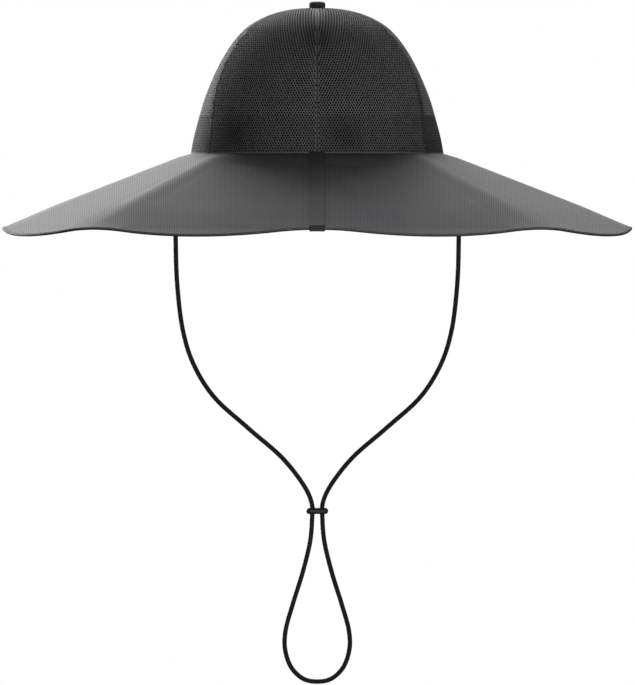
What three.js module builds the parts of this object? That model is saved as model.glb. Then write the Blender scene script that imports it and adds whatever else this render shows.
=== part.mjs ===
// Wide sun hat: a crown of six perforated panels, a brim folded into eight facets with a solar
// panel on each, and a chin cord with a slider. Millimetres, +Z up, the front towards -Y.
// The origin is the middle of the head opening, on the plane where the crown meets the brim.

import * as THREE from "three";

// Sizes that drive the rest

const gap = 0.3; // left between pieces that touch on the real hat

const crown = {
  wall: 1.4,
  depthRatio: 1.14, // size from front to back over size from side to side
  seamLow: 58.5, // degrees from the front to the side panel's seam, at the base
  seamHigh: 63, // and at the shoulder
  flatLow: 0.02, // how far a panel lies inside the oval at the base, as a share of its radius
  flatHigh: 0.06, // the same at the shoulder, where the seams stand out most
  shoulder: 68, // height where both are reached
  columns: 10, // steps across a panel
};

// Half width and height of the crown's outer face, from its base to the button
const crownSections = [
  { halfWidth: 90.0, height: 0.0 },
  { halfWidth: 88.3, height: 9.6 },
  { halfWidth: 86.1, height: 18.6 },
  { halfWidth: 83.5, height: 28.0 },
  { halfWidth: 80.5, height: 38.1 },
  { halfWidth: 76.3, height: 49.0 },
  { halfWidth: 71.6, height: 59.5 },
  { halfWidth: 66.0, height: 70.0 },
  { halfWidth: 58.7, height: 80.8 },
  { halfWidth: 50.5, height: 89.4 },
  { halfWidth: 41.7, height: 95.1 },
  { halfWidth: 31.5, height: 99.5 },
  { halfWidth: 20.6, height: 102.2 },
  { halfWidth: 12.8, height: 103.2 },
  { halfWidth: 2.3, height: 103.8 },
];
const bandTopSection = 3; // the sweatband ends at this row of the table
const tapeTopSection = 13; // and the seam tapes at this one

const tape = { width: 11.4, thickness: 0.8 };
const sweat = { thickness: 2.0, columns: 48 };
const button = { radius: 5.7, height: 4.1, edge: 1.7, shankRadius: 1.5, shankLength: 3.4, sides: 20 };

const brim = {
  radius: 224.3, // outside of the binding
  slope: 0.4216, // fall of a facet along its middle line
  zeroRadius: 90.6, // where the flat of a facet would meet the base plane
  ridgeBlend: 22, // width of the rounding between two facets
  collarWidth: 11, // steeper strip that joins the oval crown to the facets
  cloth: 1.6,
  facets: 8,
};
const binding = { width: 1.7, height: 2.6 };
// Degrees from a ridge where the brim has its columns, and its rows outside the crown
const brimColumns = [0, 3, 6, 14.25, 22.5, 30.75, 39, 42];
const collarSteps = 6;
const brimRows = 3;

const panel = { inner: 114, outer: 213, sideAngle: 16.4, thickness: 0.9, corner: 3 };

const frontBand = { width: 11.4, thickness: 0.8, hem: 11 };

const anchor = { offset: 100.8, length: 12, width: 9, height: 6, sink: 0.5 };

const cord = { radius: 1.7, sides: 8, steps: 80 };
// One half of the cord's route, from the anchor to the lowest point of the loop
const cordRoute = [
  { side: 100.8, height: -58.7 },
  { side: 99.7, height: -92.9 },
  { side: 95.4, height: -127.1 },
  { side: 88.1, height: -149.9 },
  { side: 74.0, height: -172.7 },
  { side: 49.3, height: -195.4 },
  { side: 23.5, height: -218.2 },
  { side: 7.4, height: -240.0 },
  { side: 3.6, height: -250.6 },
  { side: 3.6, height: -258.4 },
  { side: 4.9, height: -275.2 },
  { side: 10.3, height: -298.0 },
  { side: 17.4, height: -320.8 },
  { side: 22.6, height: -340.0 },
  { side: 22.9, height: -353.0 },
  { side: 18.2, height: -366.3 },
  { side: 9.5, height: -374.2 },
];
const cordLowest = -376.0;

const slider = { height: -254.5, length: 15.6, depth: 6.8, thickness: 4.4, holeOffset: 3.6, holeRadius: 2.2 };

// Finishes

function finish(color, roughness, metalness = 0) {
  return new THREE.MeshStandardMaterial({ color, roughness, metalness });
}

const meshCloth = finish(0x2b2b2c, 0.85);
const tapeCloth = finish(0x3a3a3b, 0.8);
const sweatCloth = finish(0x19191a, 0.9);
const brimCloth = finish(0x626264, 0.75);
const edgeCloth = finish(0x2e2e30, 0.8);
const panelFilm = finish(0x5b5f66, 0.55);
const bandCloth = finish(0x3c3c3e, 0.8);
const cordCloth = finish(0x141415, 0.7);
const plastic = finish(0x1b1b1c, 0.45);

// Small helpers

const radians = THREE.MathUtils.degToRad;
const { smoothstep, lerp } = THREE.MathUtils;

// A closed body between two matching grids of points. Rows run up or inwards, columns run
// anticlockwise seen from above, and a ring joins its last column to its first.
function bodyBetween(outer, inner, ring = false) {
  const rows = outer.length;
  const columns = outer[0].length;
  const points = [...outer.flat(), ...inner.flat()];
  const innerStart = rows * columns;
  const at = (row, column) => row * columns + (column % columns);
  const index = [];
  const quad = (a, b, c, d) => index.push(a, b, c, a, c, d);
  const lastColumn = ring ? columns : columns - 1;
  for (let row = 0; row < rows - 1; row++) {
    for (let column = 0; column < lastColumn; column++) {
      const corners = [at(row, column), at(row, column + 1), at(row + 1, column + 1), at(row + 1, column)];
      quad(...corners);
      quad(...corners.reverse().map((corner) => corner + innerStart));
    }
  }
  for (let column = 0; column < lastColumn; column++) {
    const low = [at(0, column), at(0, column + 1)];
    const high = [at(rows - 1, column), at(rows - 1, column + 1)];
    quad(low[1], low[0], low[0] + innerStart, low[1] + innerStart);
    quad(high[0], high[1], high[1] + innerStart, high[0] + innerStart);
  }
  if (!ring) {
    for (let row = 0; row < rows - 1; row++) {
      const first = [at(row, 0), at(row + 1, 0)];
      const last = [at(row, columns - 1), at(row + 1, columns - 1)];
      quad(first[0], first[1], first[1] + innerStart, first[0] + innerStart);
      quad(last[1], last[0], last[0] + innerStart, last[1] + innerStart);
    }
  }
  const geometry = new THREE.BufferGeometry();
  geometry.setAttribute("position", new THREE.Float32BufferAttribute(points.flatMap((p) => p.toArray()), 3));
  geometry.setIndex(index);
  geometry.computeVertexNormals();
  return geometry;
}

function steps(count, make) {
  return Array.from({ length: count }, (_, i) => make(i));
}

const hat = new THREE.Group();

function add(name, geometry, material, parent = hat) {
  const mesh = new THREE.Mesh(geometry, material);
  mesh.name = name;
  parent.add(mesh);
  return mesh;
}

// Crown

const shoulderShare = (row) => smoothstep(crownSections[row].height, 0, crown.shoulder);

// Angles of the six seams on a row, with the first one again at the end
function seamAngles(row) {
  const side = lerp(crown.seamLow, crown.seamHigh, shoulderShare(row));
  return [0, side, 180 - side, 180, 180 + side, 360 - side, 360];
}

// A row of the crown moved inwards, square to its outline
function insetSection(row, inset) {
  const here = crownSections[row];
  const below = crownSections[Math.max(row - 1, 0)];
  const above = crownSections[Math.min(row + 1, crownSections.length - 1)];
  const run = above.halfWidth - below.halfWidth;
  const rise = above.height - below.height;
  const length = Math.hypot(run, rise);
  const level = row === 0; // the base stays in its plane
  return {
    halfWidth: here.halfWidth - inset * (level ? 1 : rise / length),
    height: here.height + inset * (level ? 0 : run / length),
  };
}

// A point of the crown at an angle from the front, on a row, some way inside its outer face
function crownPoint(degrees, row, inset) {
  const { halfWidth, height } = insetSection(row, inset);
  const turned = (degrees + 360) % 360;
  const seams = seamAngles(row);
  const first = seams.findLastIndex((seam) => seam <= turned);
  const across = (turned - seams[first]) / (seams[first + 1] - seams[first]);
  const flat = lerp(crown.flatLow, crown.flatHigh, shoulderShare(row));
  const radius = (halfWidth / (1 - flat)) * (1 - flat * 4 * across * (1 - across));
  const angle = radians(degrees);
  return new THREE.Vector3(radius * Math.sin(angle), -radius * crown.depthRatio * Math.cos(angle), height);
}

// The turn, in degrees, that moves a point of a row sideways by a distance
function turnFor(distance, degrees, row, inset) {
  const small = 0.5;
  const moved = crownPoint(degrees + small, row, inset).distanceTo(crownPoint(degrees, row, inset));
  return (distance * small) / moved;
}

function crownPanel(seam) {
  const face = (inset) =>
    crownSections.map((_, row) => {
      const [start, end] = seamAngles(row).slice(seam, seam + 2);
      const from = start + turnFor(gap / 2, start, row, inset);
      const to = end - turnFor(gap / 2, end, row, inset);
      return steps(crown.columns + 1, (i) => crownPoint(lerp(from, to, i / crown.columns), row, inset));
    });
  return bodyBetween(face(0), face(crown.wall));
}

function seamTape(seam) {
  const face = (inset) =>
    steps(tapeTopSection + 1, (row) => {
      const middle = seamAngles(row)[seam];
      const turn = turnFor(tape.width / 2, middle, row, inset);
      return [-1, 0, 1].map((side) => crownPoint(middle + side * turn, row, inset));
    });
  const outside = crown.wall + gap;
  return bodyBetween(face(outside), face(outside + tape.thickness));
}

const sweatOutside = crown.wall + gap + tape.thickness + gap;
const sweatInside = sweatOutside + sweat.thickness;

function sweatband() {
  const turn = 360 / sweat.columns;
  const face = (inset) =>
    steps(bandTopSection + 1, (row) => steps(sweat.columns, (i) => crownPoint(i * turn, row, inset)));
  return bodyBetween(face(sweatOutside), face(sweatInside), true);
}

function crownButton() {
  const base = crownSections.at(-1).height + gap;
  const top = base + button.height;
  const outline = [
    new THREE.Vector2(0, base - button.shankLength),
    new THREE.Vector2(button.shankRadius, base - button.shankLength),
    new THREE.Vector2(button.shankRadius, base),
    new THREE.Vector2(button.radius - button.edge / 2, base),
    new THREE.Vector2(button.radius, base + button.edge / 2),
    new THREE.Vector2(button.radius, top - button.edge),
    new THREE.Vector2(button.radius - button.edge / 3, top - button.edge / 3),
    new THREE.Vector2(button.radius - button.edge, top - button.edge / 8),
    new THREE.Vector2(0, top),
  ];
  return new THREE.LatheGeometry(outline, button.sides).rotateX(Math.PI / 2);
}

const panelNames = ["front_right", "right", "back_right", "back_left", "left", "front_left"];
const seamNames = ["front", "front_right", "back_right", "back", "back_left", "front_left"];
for (let seam = 0; seam < seamNames.length; seam++) {
  add(`crown_panel_${panelNames[seam]}`, crownPanel(seam), meshCloth);
  add(`seam_tape_${seamNames[seam]}`, seamTape(seam), tapeCloth);
}
add("sweatband", sweatband(), sweatCloth);
add("crown_button", crownButton(), plastic);

// Brim

const facetTurn = 360 / brim.facets;
const fall = Math.hypot(1, brim.slope); // length along the slope for one unit outwards
const clothDrop = brim.cloth * fall;
const brimEdge = brim.radius - binding.width - gap;

// Height of the facets at a place, with the ridges between them rounded
function facetHeight(x, y) {
  const reach = steps(brim.facets, (i) => {
    const angle = radians((i + 0.5) * facetTurn);
    return x * Math.sin(angle) - y * Math.cos(angle);
  }).sort((a, b) => b - a);
  const between = reach[0] - reach[1];
  const rounding = Math.max(brim.ridgeBlend - between, 0) ** 2 / (4 * brim.ridgeBlend);
  return -brim.slope * (reach[0] + rounding - brim.zeroRadius);
}

// A point on top of the brim, a distance out from the crown towards the rim
function brimPoint(degrees, distance, drop = 0) {
  const start = crownPoint(degrees, 0, 0);
  const angle = radians(degrees);
  const rim = new THREE.Vector3(brimEdge * Math.sin(angle), -brimEdge * Math.cos(angle), 0);
  const place = start.clone().add(rim.sub(start).setLength(distance));
  const lift = -gap - facetHeight(start.x, start.y);
  const kept = 1 - smoothstep(distance, 0, brim.collarWidth);
  place.z = facetHeight(place.x, place.y) + lift * kept - drop;
  return place;
}

function brimWidth(degrees) {
  const start = crownPoint(degrees, 0, 0);
  const angle = radians(degrees);
  return start.distanceTo(new THREE.Vector3(brimEdge * Math.sin(angle), -brimEdge * Math.cos(angle), 0));
}

// Distances from the crown to the rim where the brim has its rows
function brimStations(degrees) {
  const width = brimWidth(degrees);
  const collar = steps(collarSteps, (i) => (brim.collarWidth * i) / (collarSteps - 1));
  const flat = steps(brimRows, (i) => lerp(brim.collarWidth, width, (i + 1) / brimRows));
  return [...collar, ...flat];
}

const rimAngles = steps(brim.facets, (i) => brimColumns.map((degrees) => i * facetTurn + degrees)).flat();

function brimBody() {
  const face = (drop) => {
    const columns = rimAngles.map((degrees) => {
      const seat = crownPoint(degrees, 0, sweatInside).setZ(-gap - drop);
      return [seat, ...brimStations(degrees).map((distance) => brimPoint(degrees, distance, drop))].reverse();
    });
    return columns[0].map((_, row) => columns.map((column) => column[row]));
  };
  return bodyBetween(face(0), face(clothDrop), true);
}

function rimBinding() {
  const rise = 0.05; // above the cloth
  const ringAt = (outwards, drop) =>
    rimAngles.map((degrees) => {
      const edge = brimPoint(degrees, brimWidth(degrees), drop - rise);
      const size = (brimEdge + outwards) / brimEdge;
      return new THREE.Vector3(edge.x * size, edge.y * size, edge.z);
    });
  const face = (drop) => [ringAt(gap + binding.width, drop), ringAt(gap, drop)];
  return bodyBetween(face(0), face(binding.height), true);
}

// The band runs out along the front ridge, round the binding and back under the brim
function frontBandBody() {
  const stations = brimStations(0).map((distance) => (distance === 0 ? 2 * gap : distance));
  const rimRadius = brim.radius + gap;
  const stand = 2 * gap; // above the cloth and the binding
  const bottom = clothDrop + stand;
  const edgeBottom = binding.height + stand;
  const width = brimWidth(0);
  const line = (grow) => {
    const over = stations.map((distance) => ({ distance, out: 0, drop: -stand - grow }));
    return [
      ...over,
      { distance: width, out: rimRadius - brimEdge + grow, drop: -stand - grow },
      { distance: width, out: rimRadius - brimEdge + grow, drop: edgeBottom + grow },
      { distance: width, out: 0, drop: edgeBottom + grow },
      { distance: width - frontBand.hem, out: 0, drop: bottom + grow },
    ];
  };
  const face = (grow) =>
    line(grow).map(({ distance, out, drop }) =>
      [-1, 0, 1].map((side) => {
        const middle = brimPoint(0, distance);
        const x = (side * frontBand.width) / 2;
        const sag = facetHeight(x, middle.y) - facetHeight(0, middle.y);
        return new THREE.Vector3(x, middle.y - out, middle.z + sag - drop);
      }),
    );
  return bodyBetween(face(frontBand.thickness).reverse(), face(0).reverse());
}

add("brim", brimBody(), brimCloth);
add("rim_binding", rimBinding(), edgeCloth);
add("front_band", frontBandBody(), bandCloth);

// Solar panels, each drawn flat and laid on its facet

function panelShape() {
  const spread = Math.tan(radians(panel.sideAngle));
  const corners = [
    new THREE.Vector2(-panel.outer * spread, -panel.outer * fall),
    new THREE.Vector2(panel.outer * spread, -panel.outer * fall),
    new THREE.Vector2(panel.inner * spread, -panel.inner * fall),
    new THREE.Vector2(-panel.inner * spread, -panel.inner * fall),
  ];
  const shape = new THREE.Shape();
  corners.forEach((corner, i) => {
    const before = corners.at(i - 1);
    const after = corners[(i + 1) % corners.length];
    const from = corner.clone().add(before.clone().sub(corner).setLength(panel.corner));
    const to = corner.clone().add(after.clone().sub(corner).setLength(panel.corner));
    if (i === 0) shape.moveTo(from.x, from.y);
    else shape.lineTo(from.x, from.y);
    shape.quadraticCurveTo(corner.x, corner.y, to.x, to.y);
  });
  return shape;
}

const panelSlab = new THREE.ExtrudeGeometry(panelShape(), {
  depth: panel.thickness,
  bevelEnabled: false,
  curveSegments: 3,
});
for (let i = 0; i < brim.facets; i++) {
  const facet = new THREE.Group();
  facet.rotation.z = radians((i + 0.5) * facetTurn);
  const slab = add(`solar_panel_${i + 1}`, panelSlab, panelFilm, facet);
  slab.rotation.x = Math.atan(brim.slope);
  slab.position.z = brim.slope * brim.zeroRadius + gap * fall;
  hat.add(facet);
}

// Anchors of the chin cord, under the brim at both sides

function underside(distanceOut) {
  return facetHeight(distanceOut, 0) - clothDrop - anchor.sink;
}

const anchorBottom = underside(anchor.offset) - anchor.height;

function anchorBody() {
  const inside = anchor.offset - anchor.width / 2;
  const outside = anchor.offset + anchor.width / 2;
  const side = new THREE.Shape([
    new THREE.Vector2(inside, anchorBottom),
    new THREE.Vector2(outside, anchorBottom),
    new THREE.Vector2(outside, underside(outside)),
    new THREE.Vector2(inside, underside(inside)),
  ]);
  const body = new THREE.ExtrudeGeometry(side, { depth: anchor.length, bevelEnabled: false });
  return body.rotateX(Math.PI / 2).translate(0, anchor.length / 2, 0);
}

add("cord_anchor_right", anchorBody(), plastic);
add("cord_anchor_left", anchorBody().rotateZ(Math.PI), plastic);

// Chin cord, one loop from anchor to anchor that passes the slider twice

const cordTop = anchorBottom - gap;
const halfRoute = [{ side: anchor.offset, height: cordTop }, ...cordRoute];
const route = [
  ...halfRoute.map(({ side, height }) => new THREE.Vector3(-side, 0, height)),
  new THREE.Vector3(0, 0, cordLowest),
  ...halfRoute.toReversed().map(({ side, height }) => new THREE.Vector3(side, 0, height)),
];
const cordSection = new THREE.Shape(
  steps(cord.sides, (i) => {
    const angle = (2 * Math.PI * (i + 0.5)) / cord.sides;
    return new THREE.Vector2(cord.radius * Math.cos(angle), cord.radius * Math.sin(angle));
  }),
);
add(
  "chin_cord",
  new THREE.ExtrudeGeometry(cordSection, {
    steps: cord.steps,
    extrudePath: new THREE.CatmullRomCurve3(route, false, "centripetal"),
  }),
  cordCloth,
);

function sliderBody() {
  const end = slider.depth / 2;
  const straight = slider.length / 2 - end;
  const outline = new THREE.Shape();
  outline.moveTo(-straight, -end);
  outline.lineTo(straight, -end);
  outline.absarc(straight, 0, end, -Math.PI / 2, Math.PI / 2, false);
  outline.lineTo(-straight, end);
  outline.absarc(-straight, 0, end, Math.PI / 2, (3 * Math.PI) / 2, false);
  for (const side of [-1, 1]) {
    outline.holes.push(new THREE.Path().absarc(side * slider.holeOffset, 0, slider.holeRadius, 0, 2 * Math.PI, true));
  }
  return new THREE.ExtrudeGeometry(outline, {
    depth: slider.thickness,
    bevelEnabled: false,
    curveSegments: 8,
  });
}

add("cord_slider", sliderBody(), plastic).position.z = slider.height - slider.thickness / 2;

export default hat;
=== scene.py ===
# Sun hat with solar panels on its brim: every visible piece, its cloth and its light
import math
import bmesh
import bpy
import numpy as np
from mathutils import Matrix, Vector


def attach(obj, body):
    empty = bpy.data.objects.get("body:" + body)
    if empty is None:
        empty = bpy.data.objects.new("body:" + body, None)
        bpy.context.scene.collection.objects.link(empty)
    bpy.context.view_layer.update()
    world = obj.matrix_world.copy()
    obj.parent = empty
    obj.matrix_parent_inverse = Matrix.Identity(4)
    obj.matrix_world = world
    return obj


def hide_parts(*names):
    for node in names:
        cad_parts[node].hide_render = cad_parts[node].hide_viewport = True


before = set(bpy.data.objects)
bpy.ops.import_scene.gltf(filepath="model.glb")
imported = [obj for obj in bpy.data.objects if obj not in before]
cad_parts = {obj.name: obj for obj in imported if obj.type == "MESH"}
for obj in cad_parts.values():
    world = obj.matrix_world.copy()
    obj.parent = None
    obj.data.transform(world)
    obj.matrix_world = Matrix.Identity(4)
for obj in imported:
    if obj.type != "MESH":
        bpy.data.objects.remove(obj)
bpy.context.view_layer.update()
mm = 0.001  # the sizes below are the hat's own, in millimetres
gap = 0.3  # between pieces that touch

print("frame loaded:", len(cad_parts), "nodes")


# Mesh helpers

def addObject(name, data):
    made = bpy.data.objects.new(name, data)
    bpy.context.scene.collection.objects.link(made)
    return made


def joined(*values):
    # one array with the values side by side along a new last axis
    return np.stack(np.broadcast_arrays(*values), -1)


def addUvs(mesh, layerName, uvs):
    # a pair for each corner of each face
    layer = mesh.uv_layers.new(name=layerName)
    layer.data.foreach_set("uv", np.asarray(uvs, np.float32).ravel())


def smooth(mesh, sharpAngle):
    mesh.shade_smooth()
    mesh.set_sharp_from_angle(angle=math.radians(sharpAngle))


def meshObject(name, points, faces, sharpAngle=40.0, uvs=None):
    # points and uvs are in millimetres
    mesh = bpy.data.meshes.new(name)
    mesh.from_pydata((np.asarray(points, float) * mm).tolist(), [], faces)
    if uvs is not None:
        addUvs(mesh, "weave", uvs)
    smooth(mesh, sharpAngle)
    return addObject(name, mesh)


def applyModifiers(piece, sharpAngle):
    bpy.context.view_layer.update()
    solved = bpy.data.meshes.new_from_object(piece.evaluated_get(bpy.context.evaluated_depsgraph_get()))
    piece.modifiers.clear()
    piece.data = solved
    smooth(solved, sharpAngle)
    return piece


def gridFaces(rows, columns, ring=False):
    # quads of a grid of points that are numbered row by row
    row = np.arange(rows - 1)[:, None] * columns
    column = np.arange(columns if ring else columns - 1)
    after = (column + 1) % columns
    return joined(row + column, row + after, row + columns + after, row + columns + column).reshape(-1, 4)


def tubeFaces(rows, columns):
    # a ring grid with one flat face at each end
    last = (rows - 1) * columns
    ends = [list(range(columns))[::-1], list(range(last, last + columns))]
    return gridFaces(rows, columns, ring=True).tolist() + ends


def shellFaces(rows, columns, ring=False):
    # a closed wall between an outer grid and an inner one that follows it
    count = rows * columns
    outer = gridFaces(rows, columns, ring)
    here = np.arange(columns if ring else columns - 1)
    after = (here + 1) % columns
    last = count - columns
    edges = [(here, after), (after + last, here + last)]
    if not ring:
        up = np.arange(rows - 1) * columns
        end = up + columns - 1
        edges += [(up + columns, up), (end, end + columns)]
    walls = [joined(b, a, a + count, b + count) for a, b in edges]
    return np.concatenate([outer, outer[:, ::-1] + count] + walls)


def closeUvs(uvs, axis, onceRound):
    # faces that close a ring run on past its end, and not back across the whole cloth
    along = uvs[..., axis]
    low = (np.ptp(along, axis=1) > onceRound / 2)[:, None] & (along < onceRound / 2)
    uvs[..., axis] = np.where(low, along + onceRound, along)


def shell(name, outer, inner, layers, ring=False, onceRound=None, sharpAngle=40.0):
    # outer and inner are rows by columns by three; a layer has a pair for each point of one of them
    faces = shellFaces(*outer.shape[:2], ring)
    points = np.concatenate([outer.reshape(-1, 3), inner.reshape(-1, 3)])
    piece = meshObject(name, points, faces.tolist(), sharpAngle)
    for layerName, grid in layers.items():
        uvs = np.concatenate([grid.reshape(-1, 2)] * 2)[faces]
        if onceRound:
            closeUvs(uvs, 0, onceRound)
        addUvs(piece.data, layerName, uvs)
    return piece


def thinned(outer, inner, share):
    # both faces of a strip move to its middle, by a share for each column
    half = (inner - outer) / 2 * share[:, None]
    return outer + half, inner - half


def circle(count):
    return np.linspace(0, 2 * math.pi, count, endpoint=False)


def ringAt(count, radius, level, middle=0.0):
    turn = circle(count)
    return joined(middle + radius * np.cos(turn), radius * np.sin(turn), level)


def outward(turn):
    # unit vectors away from the middle, for angles from the front
    return joined(np.sin(turn), -np.cos(turn), 0)


def smoothStep(value, low, high):
    share = np.clip((value - low) / (high - low), 0, 1)
    return share * share * (3 - 2 * share)


def linear(t, start, end, first, second):
    # the value at t on the way from the first to the second
    return (end - t) / (end - start) * first + (t - start) / (end - start) * second


def smoothLine(points, perSpan):
    # a curve through the points, with spans that follow the distance between them
    points = np.asarray(points, float)
    ends = np.concatenate([[2 * points[0] - points[1]], points, [2 * points[-1] - points[-2]]])
    line = []
    for p0, p1, p2, p3 in zip(ends, ends[1:], ends[2:], ends[3:]):
        t1 = np.linalg.norm(p1 - p0) ** 0.5
        t2 = t1 + np.linalg.norm(p2 - p1) ** 0.5
        t3 = t2 + np.linalg.norm(p3 - p2) ** 0.5
        t = np.linspace(t1, t2, perSpan, endpoint=False)[:, None]
        a1 = linear(t, 0, t1, p0, p1)
        a2 = linear(t, t1, t2, p1, p2)
        a3 = linear(t, t2, t3, p2, p3)
        line.append(linear(t, t1, t2, linear(t, 0, t2, a1, a2), linear(t, t1, t3, a2, a3)))
    return np.concatenate(line + [points[-1:]])


def lengthAlong(line):
    # distance of each point from the first, along the line
    return np.concatenate([[0], np.cumsum(np.linalg.norm(np.diff(line, axis=0), axis=1))])


def evenLine(line, spacing):
    # the same line with points an even distance apart
    along = lengthAlong(line)
    even = np.linspace(0, along[-1], int(round(along[-1] / spacing)) + 1)
    return joined(*(np.interp(even, along, values) for values in line.T))


def dress(piece, nodes, material):
    # the piece takes the place of its solids and follows the hat
    piece.data.materials.clear()
    piece.data.materials.append(material)
    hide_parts(*nodes)
    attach(piece, "root")
    return piece


# Node helpers for the finishes

class Finish:
    def __init__(self, name, **shader):
        self.material = bpy.data.materials.new(name)
        self.material.use_nodes = True
        self.tree = self.material.node_tree
        self.shader = self.tree.nodes["Principled BSDF"]
        for socket, value in shader.items():
            label = socket[0].upper() + "".join(" " + c if c.isupper() else c for c in socket[1:])
            self.shader.inputs[label.replace("Ior", "IOR")].default_value = value

    def add(self, kind, inputs, **settings):
        made = self.tree.nodes.new("ShaderNode" + kind)
        for key, value in settings.items():
            setattr(made, key, value)
        for key, value in inputs.items():
            self.feed(made.inputs[key], value)
        return made

    def feed(self, socket, value):
        if isinstance(value, bpy.types.NodeSocket):
            self.tree.links.new(value, socket)
        else:
            socket.default_value = value

    def calc(self, operation, *values):
        return self.add("Math", dict(enumerate(values)), operation=operation).outputs[0]

    def times(self, first, second):
        return self.calc("MULTIPLY", first, second)

    def minus(self, first, second):
        return self.calc("SUBTRACT", first, second)

    def below(self, value, limit):
        # 1 where the value is under the limit, else 0
        return self.calc("LESS_THAN", value, limit)

    def weigh(self, first, share, second, otherShare):
        return self.calc("MULTIPLY_ADD", first, share, self.times(second, otherShare))

    def fade(self, value, start, end, strength):
        # from the full strength at the start to nothing at the end
        return self.add("MapRange", {"Value": value, "From Min": start, "From Max": end,
                                     "To Min": strength, "To Max": 0.0}).outputs[0]

    def mix(self, share, first, second):
        return self.add("Mix", {0: share, 6: first, 7: second}, data_type="RGBA").outputs[2]

    def uv(self, layer="weave"):
        place = self.add("UVMap", {}, uv_map=layer).outputs[0]
        return self.add("SeparateXYZ", {0: place}).outputs[:2]

    def length(self, x, y):
        both = self.add("CombineXYZ", {0: x, 1: y}).outputs[0]
        return self.add("VectorMath", {0: both}, operation="LENGTH").outputs["Value"]

    def noise(self, scale, detail=3.0):
        place = self.add("TexCoord", {}).outputs["Object"]
        return self.add("TexNoise", {"Vector": place, "Scale": scale, "Detail": detail,
                                     "Roughness": 0.55}).outputs[0]

    def wave(self, along, pitch):
        # 0 between two threads and 1 on top of one
        return self.calc("ABSOLUTE", self.calc("SINE", self.times(along, math.pi / pitch)))

    def done(self, colour, height, depth, strength=1.0):
        bump = self.add("Bump", {"Height": height, "Distance": depth * mm, "Strength": strength})
        self.feed(self.shader.inputs["Base Color"], colour)
        self.feed(self.shader.inputs["Normal"], bump.outputs[0])
        return self.material


def grey(level, tint=0.0):
    return (level, level, level * (1 + tint), 1.0)


# Camera, straight in front and a little above the rim, far away with a long lens

photo = {
    "width": 635, "height": 685,  # pixels
    "scale": 0.712,  # millimetres to a pixel
    "middleX": 317.2, "baseLine": 153.5,  # pixel of the hat's middle, and of the crown's base
    "eyeLine": 195.0,  # pixel row that the camera stands level with
    "lens": 1400.0, "sensor": 36.0,
}


def makeCamera(size):
    camera = addObject("camera", bpy.data.cameras.new("camera"))
    camera.data.lens = size["lens"]
    camera.data.sensor_width = size["sensor"]
    pixel = size["scale"] * mm
    distance = size["height"] * pixel * size["lens"] / size["sensor"]
    side = (size["width"] / 2 - size["middleX"]) * pixel
    camera.location = (side, -distance, (size["baseLine"] - size["eyeLine"]) * pixel)
    look = Vector((side, 0, (size["baseLine"] - size["height"] / 2) * pixel)) - camera.location
    camera.rotation_euler = look.to_track_quat("-Z", "Y").to_euler()
    camera.data.clip_start = 0.1
    camera.data.clip_end = distance * 4
    bpy.context.scene.camera = camera


makeCamera(photo)
print("camera placed")


# Chin cord, one loop from anchor to anchor that passes the slider twice

cordSize = {
    "diameter": 3.4,
    "top": -11.92,  # where it comes out of its anchors
    "lowest": -376.0,
    "strands": 8,  # of the braid, running each way
    "braidPitch": 15.0,  # length in which a strand goes once round
    "relief": 0.16, "fibre": 0.23,  # depth of the braid, and pitch of its fibres
    "dark": 0.004, "light": 0.022,
    "sides": 32, "ring": 0.55,  # mesh steps round it and along it
}
cordRoute = [  # one half: distance from the middle and height
    (100.8, -58.7), (99.7, -92.9), (95.4, -127.1), (88.1, -149.9), (74.0, -172.7), (49.3, -195.4),
    (23.5, -218.2), (7.4, -240.0), (3.6, -250.6), (3.6, -258.4), (4.9, -275.2), (10.3, -298.0),
    (17.4, -320.8), (22.6, -340.0), (22.9, -353.0), (18.2, -366.3), (9.5, -374.2),
]


def cordFinish(size):
    finish = Finish("black_braid", roughness=0.62, sheenWeight=0.2, sheenRoughness=0.5)
    along, around = finish.uv()
    fibre = finish.wave(finish.calc("ADD", along, around), size["fibre"])
    patches = finish.noise(900.0)
    tone = finish.weigh(patches, 0.5, fibre, 0.35)
    colour = finish.mix(tone, grey(size["dark"]), grey(size["light"], 0.05))
    return finish.done(colour, finish.weigh(patches, 0.5, fibre, 1.0), 0.06)


def makeCord(size, halfRoute):
    half = [(halfRoute[0][0], size["top"])] + halfRoute
    route = [(-x, 0, z) for x, z in half] + [(0, 0, size["lowest"])] + [(x, 0, z) for x, z in reversed(half)]
    line = evenLine(smoothLine(route, 24), size["ring"])
    ahead = np.gradient(line, axis=0)
    ahead /= np.linalg.norm(ahead, axis=1)[:, None]
    across = np.array([0.0, 1.0, 0.0])  # the loop lies in one plane
    side = np.cross(ahead, across)
    along = np.arange(len(line)) * np.linalg.norm(line[1] - line[0])
    turn = circle(size["sides"])
    start = size["strands"] * turn / (2 * math.pi)
    travel = size["strands"] * along[:, None] / size["braidPitch"]
    one, other = start + travel, start - travel
    over = (np.floor(one) + np.floor(other)) % 2 < 1
    rounded = np.abs(np.sin(math.pi * np.where(over, one, other)))
    radius = size["diameter"] / 2 - size["relief"] * (1 - np.sqrt(rounded))
    ring = radius[..., None] * (np.cos(turn)[:, None] * side[:, None] + np.sin(turn)[:, None] * across)
    points = line[:, None] + ring
    faces = tubeFaces(*points.shape[:2])
    grid = joined(along[:, None], turn * size["diameter"] / 2).reshape(-1, 2)
    uvs = grid[np.array(faces[:-2])]
    closeUvs(uvs, 1, math.pi * size["diameter"])
    uvs = np.concatenate([uvs.reshape(-1, 2), np.zeros((2 * size["sides"], 2))])
    return meshObject("chin_cord_braid", points.reshape(-1, 3), faces, 60, uvs), line


cordPiece, cordLine = makeCord(cordSize, cordRoute)
dress(cordPiece, ["chin_cord"], cordFinish(cordSize))
print("chin cord braided:", round(len(cordLine) * cordSize["ring"]), "mm")


# Slider, a rounded bar with a hole for each strand

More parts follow.
